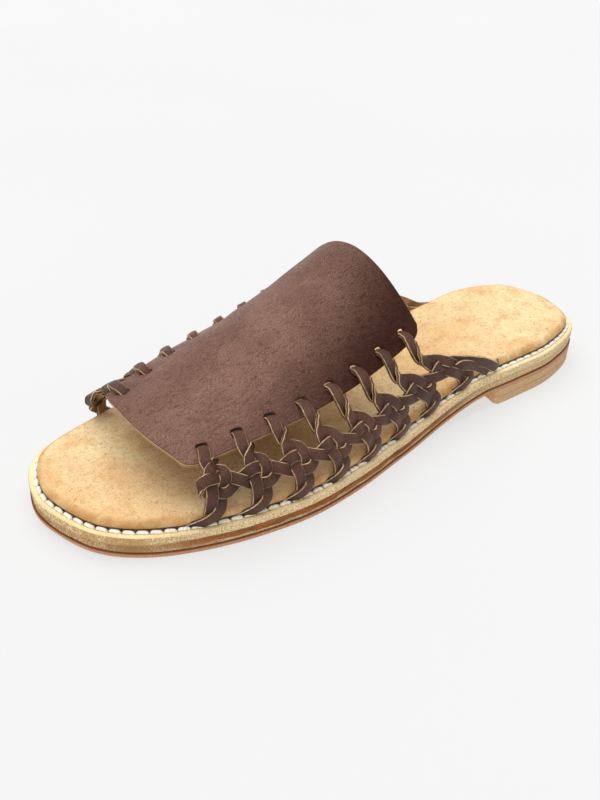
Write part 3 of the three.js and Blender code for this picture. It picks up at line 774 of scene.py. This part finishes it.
VAMP_GRAIN = vamp_grain()
VAMP_RIM = vamp_rim_leather()
THONG_LEATHER = thong_leather()
SUEDE = suede()
WELT_LEATHER = sole_edge("welt_leather", "f0d29c", "fae6ba", "cba66c", toe="b98f50", stain="94501f")
MIDSOLE_LEATHER = sole_edge("midsole_leather", "e6cb9c", "e9cda0", "bf9862", toe="a27a46", stain="8a4c20")
OUTSOLE_LEATHER = sole_edge("outsole_leather", "c89872", "d1a178", "b9855d", line="7a4529")
HEEL_LEATHER = sole_edge("heel_leather", "d8b48a", "dcb88e", "c69c70")
THREAD = thread()


# Sole pieces. Each layer reaches half the gap towards its neighbour, so no light shows between them.
TOUCH = GAP / 2
# Rows up a layer's side as shares of its thickness, and the share by which its edges are rounded
SIDE_ROWS = (0.3, 0.42, 0.65)
EDGE_ROUND = 0.3
# Dark line under the outsole's upper edge
LINE_DEEP = 0.6
LINE_SOFT = 0.3
# Strength of the midsole's stain at its lower and its upper edge
STAIN_LOW = 0.25
STAIN_HIGH = 1.0


def layer_profile(thick, soft):
    """Rows of inset and height up the side of a layer with softened edges."""
    turn = soft * EDGE_ROUND
    low = [(soft, 0), (turn, turn), (0, soft)]
    high = [(inset, thick - up) for inset, up in reversed(low)]
    return low + [(0, thick * share) for share in SIDE_ROWS] + high


def edge_values(piece, foot):
    """Length round the outline and height above the sole's underside, kept for streaks along the edge."""
    steps = norm(np.roll(LOOP, -1, 0) - LOOP, axis=1)
    run = np.resize(np.concatenate([[0], np.cumsum(steps)[:-1]]), len(foot))
    above = foot[:, 2] - sole_under(foot[:, 0])
    add_values(piece, "run", run)
    add_values(piece, "above", above)
    return above


def sole_layer(node, thick, reach, base, material, soft, seed, rough):
    """One full layer of the sole. A material reads the line or the stain, whichever it has."""
    low = base - TOUCH if base else 0
    high = base + thick + TOUCH
    rings = sole_rings(layer_profile(high - low, soft), reach, low, seed, rough)
    piece, foot = ring_solid(f"{node}_layer", rings, [material])
    above = edge_values(piece, foot)
    add_values(piece, "line", smooth((LINE_DEEP - high + above) / LINE_SOFT))
    add_values(piece, "stain", STAIN_LOW + (STAIN_HIGH - STAIN_LOW) * smooth((above - low) / (high - low)))
    take_place(piece, f"{node}_leather", node)


sole_layer("outsole", OUTSOLE, OUTSOLE_REACH, 0, OUTSOLE_LEATHER, soft=0.45, seed=3, rough=0.15)
sole_layer("midsole", MIDSOLE, MIDSOLE_REACH, OUTSOLE + GAP, MIDSOLE_LEATHER, soft=0.35, seed=5, rough=0.3)

# Welt: its top carries a shallow channel for the stitches beside the insole
WELT_BASE = OUTSOLE + MIDSOLE + 2 * GAP
STITCH_INSET = 2.8
CHANNEL_WIDE = 0.85
CHANNEL_DEEP = 0.45
# Dark crack between the stitches and the insole's rolled edge
CRACK_START = 0.5
CRACK_DEEP = 1.3
WELT_SOFT = 0.7
# Height to which the midsole's stain creeps up the welt
STAIN_CREEP = 1.3
STAIN_SOFT = 0.8


def welt():
    side = layer_profile(WELT + TOUCH, WELT_SOFT)[:-1]
    rings = sole_rings(side, 0, WELT_BASE - TOUCH, seed=9, rough=0.25)
    floor_half = CHANNEL_WIDE / 2
    ledge_rows = [
        (STITCH_INSET - CHANNEL_WIDE, 0), (STITCH_INSET - floor_half, CHANNEL_DEEP),
        (STITCH_INSET + floor_half, CHANNEL_DEEP), (STITCH_INSET + CHANNEL_WIDE, CRACK_DEEP / 2),
        (INSOLE_LEDGE + CRACK_START, CRACK_DEEP),
    ]
    for inset, deep in ledge_rows:
        loop = inset_loop(inset)
        rings.append(np.column_stack([loop, welt_top(loop[:, 0]) - deep]))
    piece, foot = ring_solid("welt_layer", rings, [WELT_LEATHER])
    above = edge_values(piece, foot) - WELT_BASE
    add_values(piece, "stain", smooth((STAIN_CREEP - above) / STAIN_SOFT))
    take_place(piece, "welt_leather", "welt")


welt()

# Heel lift: the outline behind the breast line, closed by a hollowed curve, with two stacked leather layers
HEEL_LAYERS = 2
BREAST_HOLLOW = 4
BREAST_STEPS = 40
# Softened edges of each layer: inset, and distance from its upper or lower face
LIFT_EDGE = [(0.35, 0), (0.05, 0.3), (0, 0.6)]


def heel_outline():
    loop = inset_loop(-OUTSOLE_REACH)
    medial = loop[HALF:][loop[HALF:, 0] < SEAT_FRONT]
    lateral = loop[:HALF][loop[:HALF, 0] < SEAT_FRONT]
    share = np.linspace(0, 1, BREAST_STEPS + 1)
    breast_along = SEAT_FRONT - BREAST_HOLLOW * np.sin(math.pi * share)
    breast_across = lateral[-1, 1] + (medial[0, 1] - lateral[-1, 1]) * share
    breast = np.column_stack([breast_along, breast_across])[1:-1]
    return np.vstack([medial, lateral, breast])


def heel_lift():
    tall = HEEL_RISE / HEEL_LAYERS
    profile = []
    for layer in range(HEEL_LAYERS):
        low = layer * tall
        profile += [(inset, low + step) for inset, step in LIFT_EDGE]
        profile += [(inset, low + tall - step) for inset, step in reversed(LIFT_EDGE)]
    outline = heel_outline()
    count = len(outline)
    inward = unit_rows(outline.mean(0) - outline)
    rings = [np.column_stack([outline + inward * inset, np.full(count, up)]) for inset, up in profile]
    points = place(*np.vstack(rings).T)
    piece = new_mesh("heel_stack", points, closed_tube(0, len(rings), count), [HEEL_LEATHER])
    take_place(piece, "heel_leather", "heel_lift")


heel_lift()

# Insole pad: rolled edge as rows of inset and height, a soft crown, and the shallow beds of heel and ball
INSOLE_PROFILE = [
    (1.5, -1.4), (0.3, -0.3), (-0.3, 0.3), (-0.65, 0.9), (-0.85, 1.7), (-0.75, 2.5), (-0.2, 3.3), (0.7, 3.9),
    (1.9, 4.25), (3.3, 4.4), (5.0, 4.45),
]
# The rolled edge is browner out to this inset and above this height, and darkened by painted shade below the
# last, where it sinks into the crack by the welt
RIM_INSET = 2.2
RIM_UP = 1.7
CRACK_SHADE_UP = 1.5
# Beds: along, reach and depth
HEEL_BED = (42, 26, 0.5)
BALL_BED = (195, 40, 0.45)
# Crown and unevenness of the top, which fade towards the edge, and unevenness of the roll
CROWN = 0.15
CROWN_FADE = 8
TOP_WAVES = dict(size=0.35, scale=0.045, seed=21)
ROLL_WAVES = dict(size=0.18, scale=0.09, seed=14)
ROLL_RISE = 2.0


def insole_crown(along, across, share):
    bed = 0
    for centre, reach, deep in (HEEL_BED, BALL_BED):
        far = ((along - centre) ** 2 + across**2) / reach**2
        bed = bed + deep * np.exp(-far)
    soft = wobble(np.column_stack([along, across, np.zeros_like(along)]), **TOP_WAVES)
    fade = smooth(np.minimum(share, 1 - share) * CROWN_FADE)
    return (CROWN - bed + soft) * fade


def insole():
    rings = []
    for inset, up in INSOLE_PROFILE:
        loop = inset_loop(INSOLE_LEDGE + inset)
        soft = wobble(np.column_stack([loop, np.full(LOOP_COUNT, up * ROLL_RISE)]), **ROLL_WAVES)
        loop = inset_loop(INSOLE_LEDGE + inset + soft)
        rings.append(np.column_stack([loop, welt_top(loop[:, 0]) + GAP + up]))
    piece, foot = ring_solid("insole_pad", rings, [SUEDE], insole_crown)
    inset, up = np.repeat(INSOLE_PROFILE, LOOP_COUNT, axis=0).T
    inner = np.zeros(len(foot) - len(up))
    add_values(piece, "rim", np.concatenate([np.where(up > RIM_UP, 1 - smooth(inset / RIM_INSET), 1), inner]))
    # Strength of the painted shade low on the roll, in the crack by the welt
    add_values(piece, "low", np.concatenate([smooth((CRACK_SHADE_UP - up) / CRACK_SHADE_UP), inner]))
    take_place(piece, "insole_suede", "insole")


insole()

# Stitches: plump ovals of thread in the welt's channel, each end drawn down into its hole
STITCH_PITCH = 4.9
STITCH_LONG = 4.65
STITCH_WIDE = 1.75
STITCH_HIGH = 1.3
# Arch of the thread, how deep its ends sink, its turn from the row, and its thinnest share at the ends
STITCH_ARCH = 0.5
STITCH_SUNK = 0.2
STITCH_SLANT = 0.18
STITCH_TIP = 0.1
STITCH_PROBE = 0.2
STITCH_ALONG = 10
STITCH_ROUND = 10


def stitches():
    loop = inset_loop(STITCH_INSET)
    closed = np.vstack([loop, loop[:1]])
    run = np.concatenate([[0], np.cumsum(norm(np.diff(closed, axis=0), axis=1))])
    count = int(run[-1] / STITCH_PITCH)
    turn = np.linspace(0, 2 * math.pi, STITCH_ROUND, endpoint=False)

    def on_row(distance):
        return np.array([np.interp(distance, run, closed[:, k]) for k in (0, 1)])

    foot, faces = [], []
    for stitch in range(count):
        faces += closed_tube(len(foot), STITCH_ALONG, STITCH_ROUND)
        middle = (stitch + 0.5) * run[-1] / count
        for step in np.linspace(-1, 1, STITCH_ALONG):
            distance = middle + step * STITCH_LONG / 2
            where, ahead = on_row(distance), on_row(distance + STITCH_PROBE)
            side = unit_vector(np.array([ahead[1] - where[1], where[0] - ahead[0]]))
            full = max(STITCH_TIP, 1 - step**6) ** 0.5
            lift = STITCH_ARCH * (1 - step**4) - STITCH_SUNK
            flat = where + np.outer(np.cos(turn) * STITCH_WIDE / 2 * full + step * STITCH_SLANT, side)
            up = welt_top(where[0]) + lift + np.sin(turn) * STITCH_HIGH / 2 * full
            foot.extend(np.column_stack([flat, up]))
    piece = new_mesh("welt_stitches", place(*np.array(foot).T), faces, [THREAD])
    take_place(piece, "welt_leather")


stitches()

# Vamp: a fine sheet with a rounded rim, slots cut through it for the thongs
VAMP_ROWS = 110
VAMP_COLUMNS = 120
# Share by which the rows crowd towards both cuts
ROW_EASE = 0.4
# Rim of the two glued leathers: how far each step is drawn in, and its share of the thickness
RIM_STEPS = [
    (0.28, 0), (0.08, 0.08), (0, 0.25), (0.03, 0.42), (0.09, 0.48), (0.03, 0.54), (0, 0.75),
    (0.12, 0.93), (0.3, 1),
]
# Creases: both ends as along and share, half width, and depth of the trough (below 0 for a ridge)
CREASES = [
    ((216, -0.6), (209, 0.3), 8, 0.4),
    ((199, 0.15), (187, 0.95), 6, 0.5),
    ((186, -0.5), (175, 0.5), 10, -0.45),
    ((163, 0.2), (150, 0.9), 7, 0.55),
    ((153, -0.65), (146, 0.15), 9, 0.4),
    ((133, -0.35), (129, 0.55), 6, -0.35),
]
# Slight long unevenness of the worn leather: scales along and across, seed, and sizes of two waves
WAVE_ALONG = 0.022
WAVE_ACROSS = 1.3
WAVE_SEED = 4.0
LONG_WAVE = 0.35
SHORT_WAVE = 0.18
SHORTER = 2.7


def crease_depth(points):
    """Depth of all soft creases at each point, as long troughs and ridges with faded ends."""
    deep = np.zeros(points.shape[:-1])
    for start, end, half_width, depth in CREASES:
        a, b = vamp_face(*start), vamp_face(*end)
        share = np.clip((points - a) @ (b - a) / ((b - a) @ (b - a)), 0, 1)
        far = norm(points - (a + share[..., None] * (b - a)), axis=-1)
        deep += depth * np.exp(-((far / half_width) ** 2))
    return deep


def pucker_depth(points):
    """Depth of the small hollow round each slot."""
    deep = np.zeros(points.shape[:-1])
    for side in SIDES.values():
        for unit in range(UNITS):
            centre = slot_centre(side, unit)[0]
            deep = np.maximum(deep, pucker(norm(points - centre, axis=-1)))
    return deep


def vamp_waves(along, share):
    spot = Vector((along * WAVE_ALONG, share * WAVE_ACROSS, WAVE_SEED))
    return LONG_WAVE * perlin.noise(spot) + SHORT_WAVE * perlin.noise(spot * SHORTER)


def vamp_sheet():
    """Grid of points on the vamp's outer face, with the directions out of it."""
    grid = []
    for row in range(VAMP_ROWS + 1):
        run = row / VAMP_ROWS
        run = (1 - ROW_EASE) * run + ROW_EASE * float(smooth(run))
        line = []
        for column in range(VAMP_COLUMNS + 1):
            full = 2 * column / VAMP_COLUMNS - 1
            front, rear = cut_along(FRONT_CUT, full), cut_along(REAR_CUT, full)
            along = front + (rear - front) * run
            draw = corner_draw(CORNER_FRONT, front - along) + corner_draw(CORNER_REAR, along - rear)
            line.append((along, full * (1 - draw / edge_rate(1 if full >= 0 else -1, along))))
        grid.append(line)
    face, normal, waves = (
        np.array([[measure(*spot) for spot in line] for line in grid])
        for measure in (vamp_face, vamp_normal, vamp_waves)
    )
    sunk = crease_depth(face) + pucker_depth(face)
    return face + normal * (waves - sunk)[..., None], normal


def rim_path():
    """Rows and columns of the grid once round its rim."""
    path = [(0, c) for c in range(VAMP_COLUMNS)]
    path += [(r, VAMP_COLUMNS) for r in range(VAMP_ROWS)]
    path += [(VAMP_ROWS, c) for c in range(VAMP_COLUMNS, 0, -1)]
    path += [(r, 0) for r in range(VAMP_ROWS, 0, -1)]
    return path


def vamp():
    face, normal = vamp_sheet()
    path = rim_path()
    edge, edge_normal = (np.array([grid[spot] for spot in path]) for grid in (face, normal))
    run = np.roll(edge, -1, 0) - np.roll(edge, 1, 0)
    outward = unit_rows(np.cross(run, edge_normal))
    inside = [(r, c) for r in range(1, VAMP_ROWS) for c in range(1, VAMP_COLUMNS)]
    points, depth = [], []
    for deep in (0, 1):
        points += [face[spot] - VAMP_THICK * deep * normal[spot] for spot in inside]
        depth += [deep] * len(inside)
    for pull, deep in RIM_STEPS:
        points.extend(edge - outward * pull - edge_normal * VAMP_THICK * deep)
        depth += [deep] * len(path)
    rim, rim_end = 2 * len(inside), len(points) - len(path)
    number = {}
    for spots, outer, inner in ((inside, 0, len(inside)), (path, rim, rim_end)):
        for index, spot in enumerate(spots):
            number["outer", spot] = outer + index
            number["inner", spot] = inner + index
    faces = []
    for layer in ("outer", "inner"):
        for r in range(VAMP_ROWS):
            for c in range(VAMP_COLUMNS):
                spots = [(r, c), (r, c + 1), (r + 1, c + 1), (r + 1, c)]
                faces.append([number[layer, spot] for spot in spots])
    faces += tube_faces(rim, len(RIM_STEPS), len(path))
    grain_faces = VAMP_ROWS * VAMP_COLUMNS
    kinds = [0] * grain_faces + [1] * (len(faces) - grain_faces)
    piece = new_mesh("vamp_sheet", points, faces, [VAMP_GRAIN, VAMP_RIM])
    piece.data.polygons.foreach_set("material_index", kinds)
    add_values(piece, "depth", depth)
    cut_slots(piece)
    take_place(piece, "vamp_leather", "vamp")


# Cutters of the slots: points round, reach to both sides, and how square they are (1 for an oval)
SLOT_SIDES = 20
SLOT_REACH = 5
SLOT_SQUARE = 0.6


def cut_slots(piece):
    turn = np.linspace(0, 2 * math.pi, SLOT_SIDES, endpoint=False)
    wide = np.sign(np.cos(turn)) * np.abs(np.cos(turn)) ** SLOT_SQUARE * SLOT_WIDE / 2
    tall = np.sign(np.sin(turn)) * np.abs(np.sin(turn)) ** SLOT_SQUARE * SLOT_TALL / 2
    points, faces = [], []
    for side in SIDES.values():
        for unit in range(UNITS):
            centre, (heelward, upward, outward) = slot_centre(side, unit)
            faces += closed_tube(len(points), 2, SLOT_SIDES)
            for reach in (-SLOT_REACH, SLOT_REACH):
                points.extend(centre + np.outer(wide, heelward) + np.outer(tall, upward) + outward * reach)
    cutter = new_mesh("slot_cutter", points, faces, [VAMP_RIM])
    cut = piece.modifiers.new("slots", "BOOLEAN")
    cut.operation = "DIFFERENCE"
    cut.solver = "MANIFOLD"
    cut.object = cutter
    bpy.context.view_layer.update()
    made = bpy.data.meshes.new_from_object(piece.evaluated_get(bpy.context.evaluated_depsgraph_get()))
    piece.modifiers.clear()
    piece.data = made
    bpy.data.objects.remove(cutter)


vamp()

# Thongs: flat strips with a crowned smooth side, pale corners along both cut edges and a flesh side
THONG_STEPS = 7
# Lateral half of the section: share of the width, share of the thickness, pale cut edge, flesh side
HALF_SECTION = [
    (0, 1.3, 0, 0), (0.35, 1.26, 0, 0), (0.65, 1.14, 0, 0), (0.85, 0.96, 0.1, 0), (0.94, 0.8, 1, 0),
    (0.99, 0.55, 1, 0), (1, 0.3, 0.2, 0), (1, -0.1, 0, 0), (1, -0.35, 0.2, 0), (0.99, -0.62, 1, 0),
    (0.93, -0.88, 1, 0.2), (0.78, -1, 0.4, 1), (0, -1, 0, 1),
]
SECTION = HALF_SECTION + [(-across, *rest) for across, *rest in HALF_SECTION[-2:0:-1]]


def thong(name, spots):
    """Strip swept through its spots, turning smoothly from one face to the next."""
    places, faced, _, squeezes, tuck_shadings = zip(*spots)
    path = smooth_path(places, THONG_STEPS)
    stations = np.arange(len(path)) / THONG_STEPS
    squeeze = np.interp(stations, np.arange(len(spots)), squeezes)[:, None]
    tuck_shading = np.interp(stations, np.arange(len(spots)), tuck_shadings)
    share = smooth(np.linspace(0, 1, THONG_STEPS, endpoint=False))[:, None]
    looks = [here * (1 - share) + there * share for here, there in zip(faced, faced[1:])]
    looks = np.vstack([*looks, faced[-1][None]])
    run = unit_rows(np.gradient(path, axis=0))
    wide = unit_rows(np.cross(run, looks))
    thick = np.cross(wide, run)
    across, high, cut, back = zip(*SECTION)
    lines = []
    for side, up in zip(across, high):
        lines.append(path + wide * squeeze * side * THONG_WIDE / 2 + thick * up * THONG_THICK / 2)
    points = np.stack(lines, 1).reshape(-1, 3)
    piece = new_mesh(name, points, closed_tube(0, len(path), len(SECTION)), [THONG_LEATHER])
    add_values(piece, "cut", np.tile(cut, len(path)))
    add_values(piece, "back", np.tile(back, len(path)))
    add_values(piece, "tuck_shade", np.repeat(tuck_shading, len(SECTION)))
    return piece


# The lengthwise thong's second run starts this far heelward of the first knot
TURN_END = 1.0


def weft_spots(side, phase, after):
    """Rows of one run of the lengthwise thong, over and under from slot to slot."""
    rows = []
    for unit in range(UNITS):
        route = UPPER_WEFT if (unit + phase) % 2 == 0 else LOWER_WEFT
        rows += [thong_spot(side, unit, 1, shift, part, 0, out, "out") for shift, part, out in route]
    rows.sort(key=lambda row: row[2])
    first = (side["knot_line"] + after) / PITCH
    last = UNITS - 1 + (side["knot_line"] + KNOT_REACH) / PITCH
    return [row for row in rows if first < row[2] < last]


def braid(side_name):
    """All thongs of one side: one in each slot and the lengthwise one."""
    side = SIDES[side_name]
    strips = []
    for unit in range(UNITS):
        spots = [thong_spot(side, unit, *row) for row in SLOT_THONG]
        strips.append(thong(f"thong_{side_name}_{unit + 1}", spots))

    def end_spots(unit, rows):
        return [thong_spot(side, unit, 1, *row, mirrored=False) for row in rows]

    there = weft_spots(side, 0, -KNOT_REACH) + end_spots(UNITS - 1, LOWER_TAIL)
    back = weft_spots(side, 1, TURN_END) + end_spots(UNITS - 1, UPPER_TAIL)
    spots = there[::-1] + end_spots(0, TOE_TURN) + back
    strips.append(thong(f"thong_{side_name}_lengthwise", spots))
    for strip in strips:
        take_place(strip, "thong_leather", f"braid_{side_name}")


for side_name in SIDES:
    braid(side_name)

# Floor
FLOOR_HALF = 3.0
FLOOR_EDGES = 8
floor_mesh = bpy.data.meshes.new("floor")
floor_work = bmesh.new()
bmesh.ops.create_grid(floor_work, x_segments=FLOOR_EDGES, y_segments=FLOOR_EDGES, size=FLOOR_HALF)
floor_work.to_mesh(floor_mesh)
floor_work.free()
floor_mesh.materials.append(studio_floor())
floor = new_object("floor", floor_mesh)

# Even white light from all round
WORLD_STRENGTH = 0.36
world = bpy.data.worlds.new("studio")
world.use_nodes = True
background = world.node_tree.nodes["Background"]
background.inputs["Color"].default_value = (1, 1, 1, 1)
background.inputs["Strength"].default_value = WORLD_STRENGTH
bpy.context.scene.world = world

# Wide soft lights: where each comes from, its strength and its angle
LIGHTS = {
    "key_light": (Vector((-0.35, 0.12, 1.0)), 2.85, 70),
    "fill_light": (Vector((0.5, -0.8, 0.6)), 1.0, 70),
}
for light_name, (light_from, energy, angle) in LIGHTS.items():
    light_data = bpy.data.lights.new(light_name, "SUN")
    light_data.energy = energy
    light_data.angle = math.radians(angle)
    light = new_object(light_name, light_data)
    light.location = light_from
    light.rotation_euler = (-light_from).to_track_quat("-Z", "Y").to_euler()

# Camera at the photo's angle to the shoe
CAMERA_SPOT = Vector((0.2492, -0.2172, 0.2270))
CAMERA_LOOK = Vector((-0.654, 0.515, -0.555)).normalized()
CAMERA_ROLL = math.radians(2.1)
CAMERA_LENS = 40.5
SENSOR_WIDE = 36
CLIP_NEAR = 0.01
camera_data = bpy.data.cameras.new("camera")
camera = new_object("camera", camera_data)
camera.location = CAMERA_SPOT
turned = CAMERA_LOOK.to_track_quat("-Z", "Y").to_matrix() @ Matrix.Rotation(CAMERA_ROLL, 3, "Z")
camera.rotation_euler = turned.to_euler()
camera_data.sensor_width = SENSOR_WIDE
camera_data.lens = CAMERA_LENS
camera_data.clip_start = CLIP_NEAR
bpy.context.scene.camera = camera
bpy.context.scene.view_settings.view_transform = "Standard"
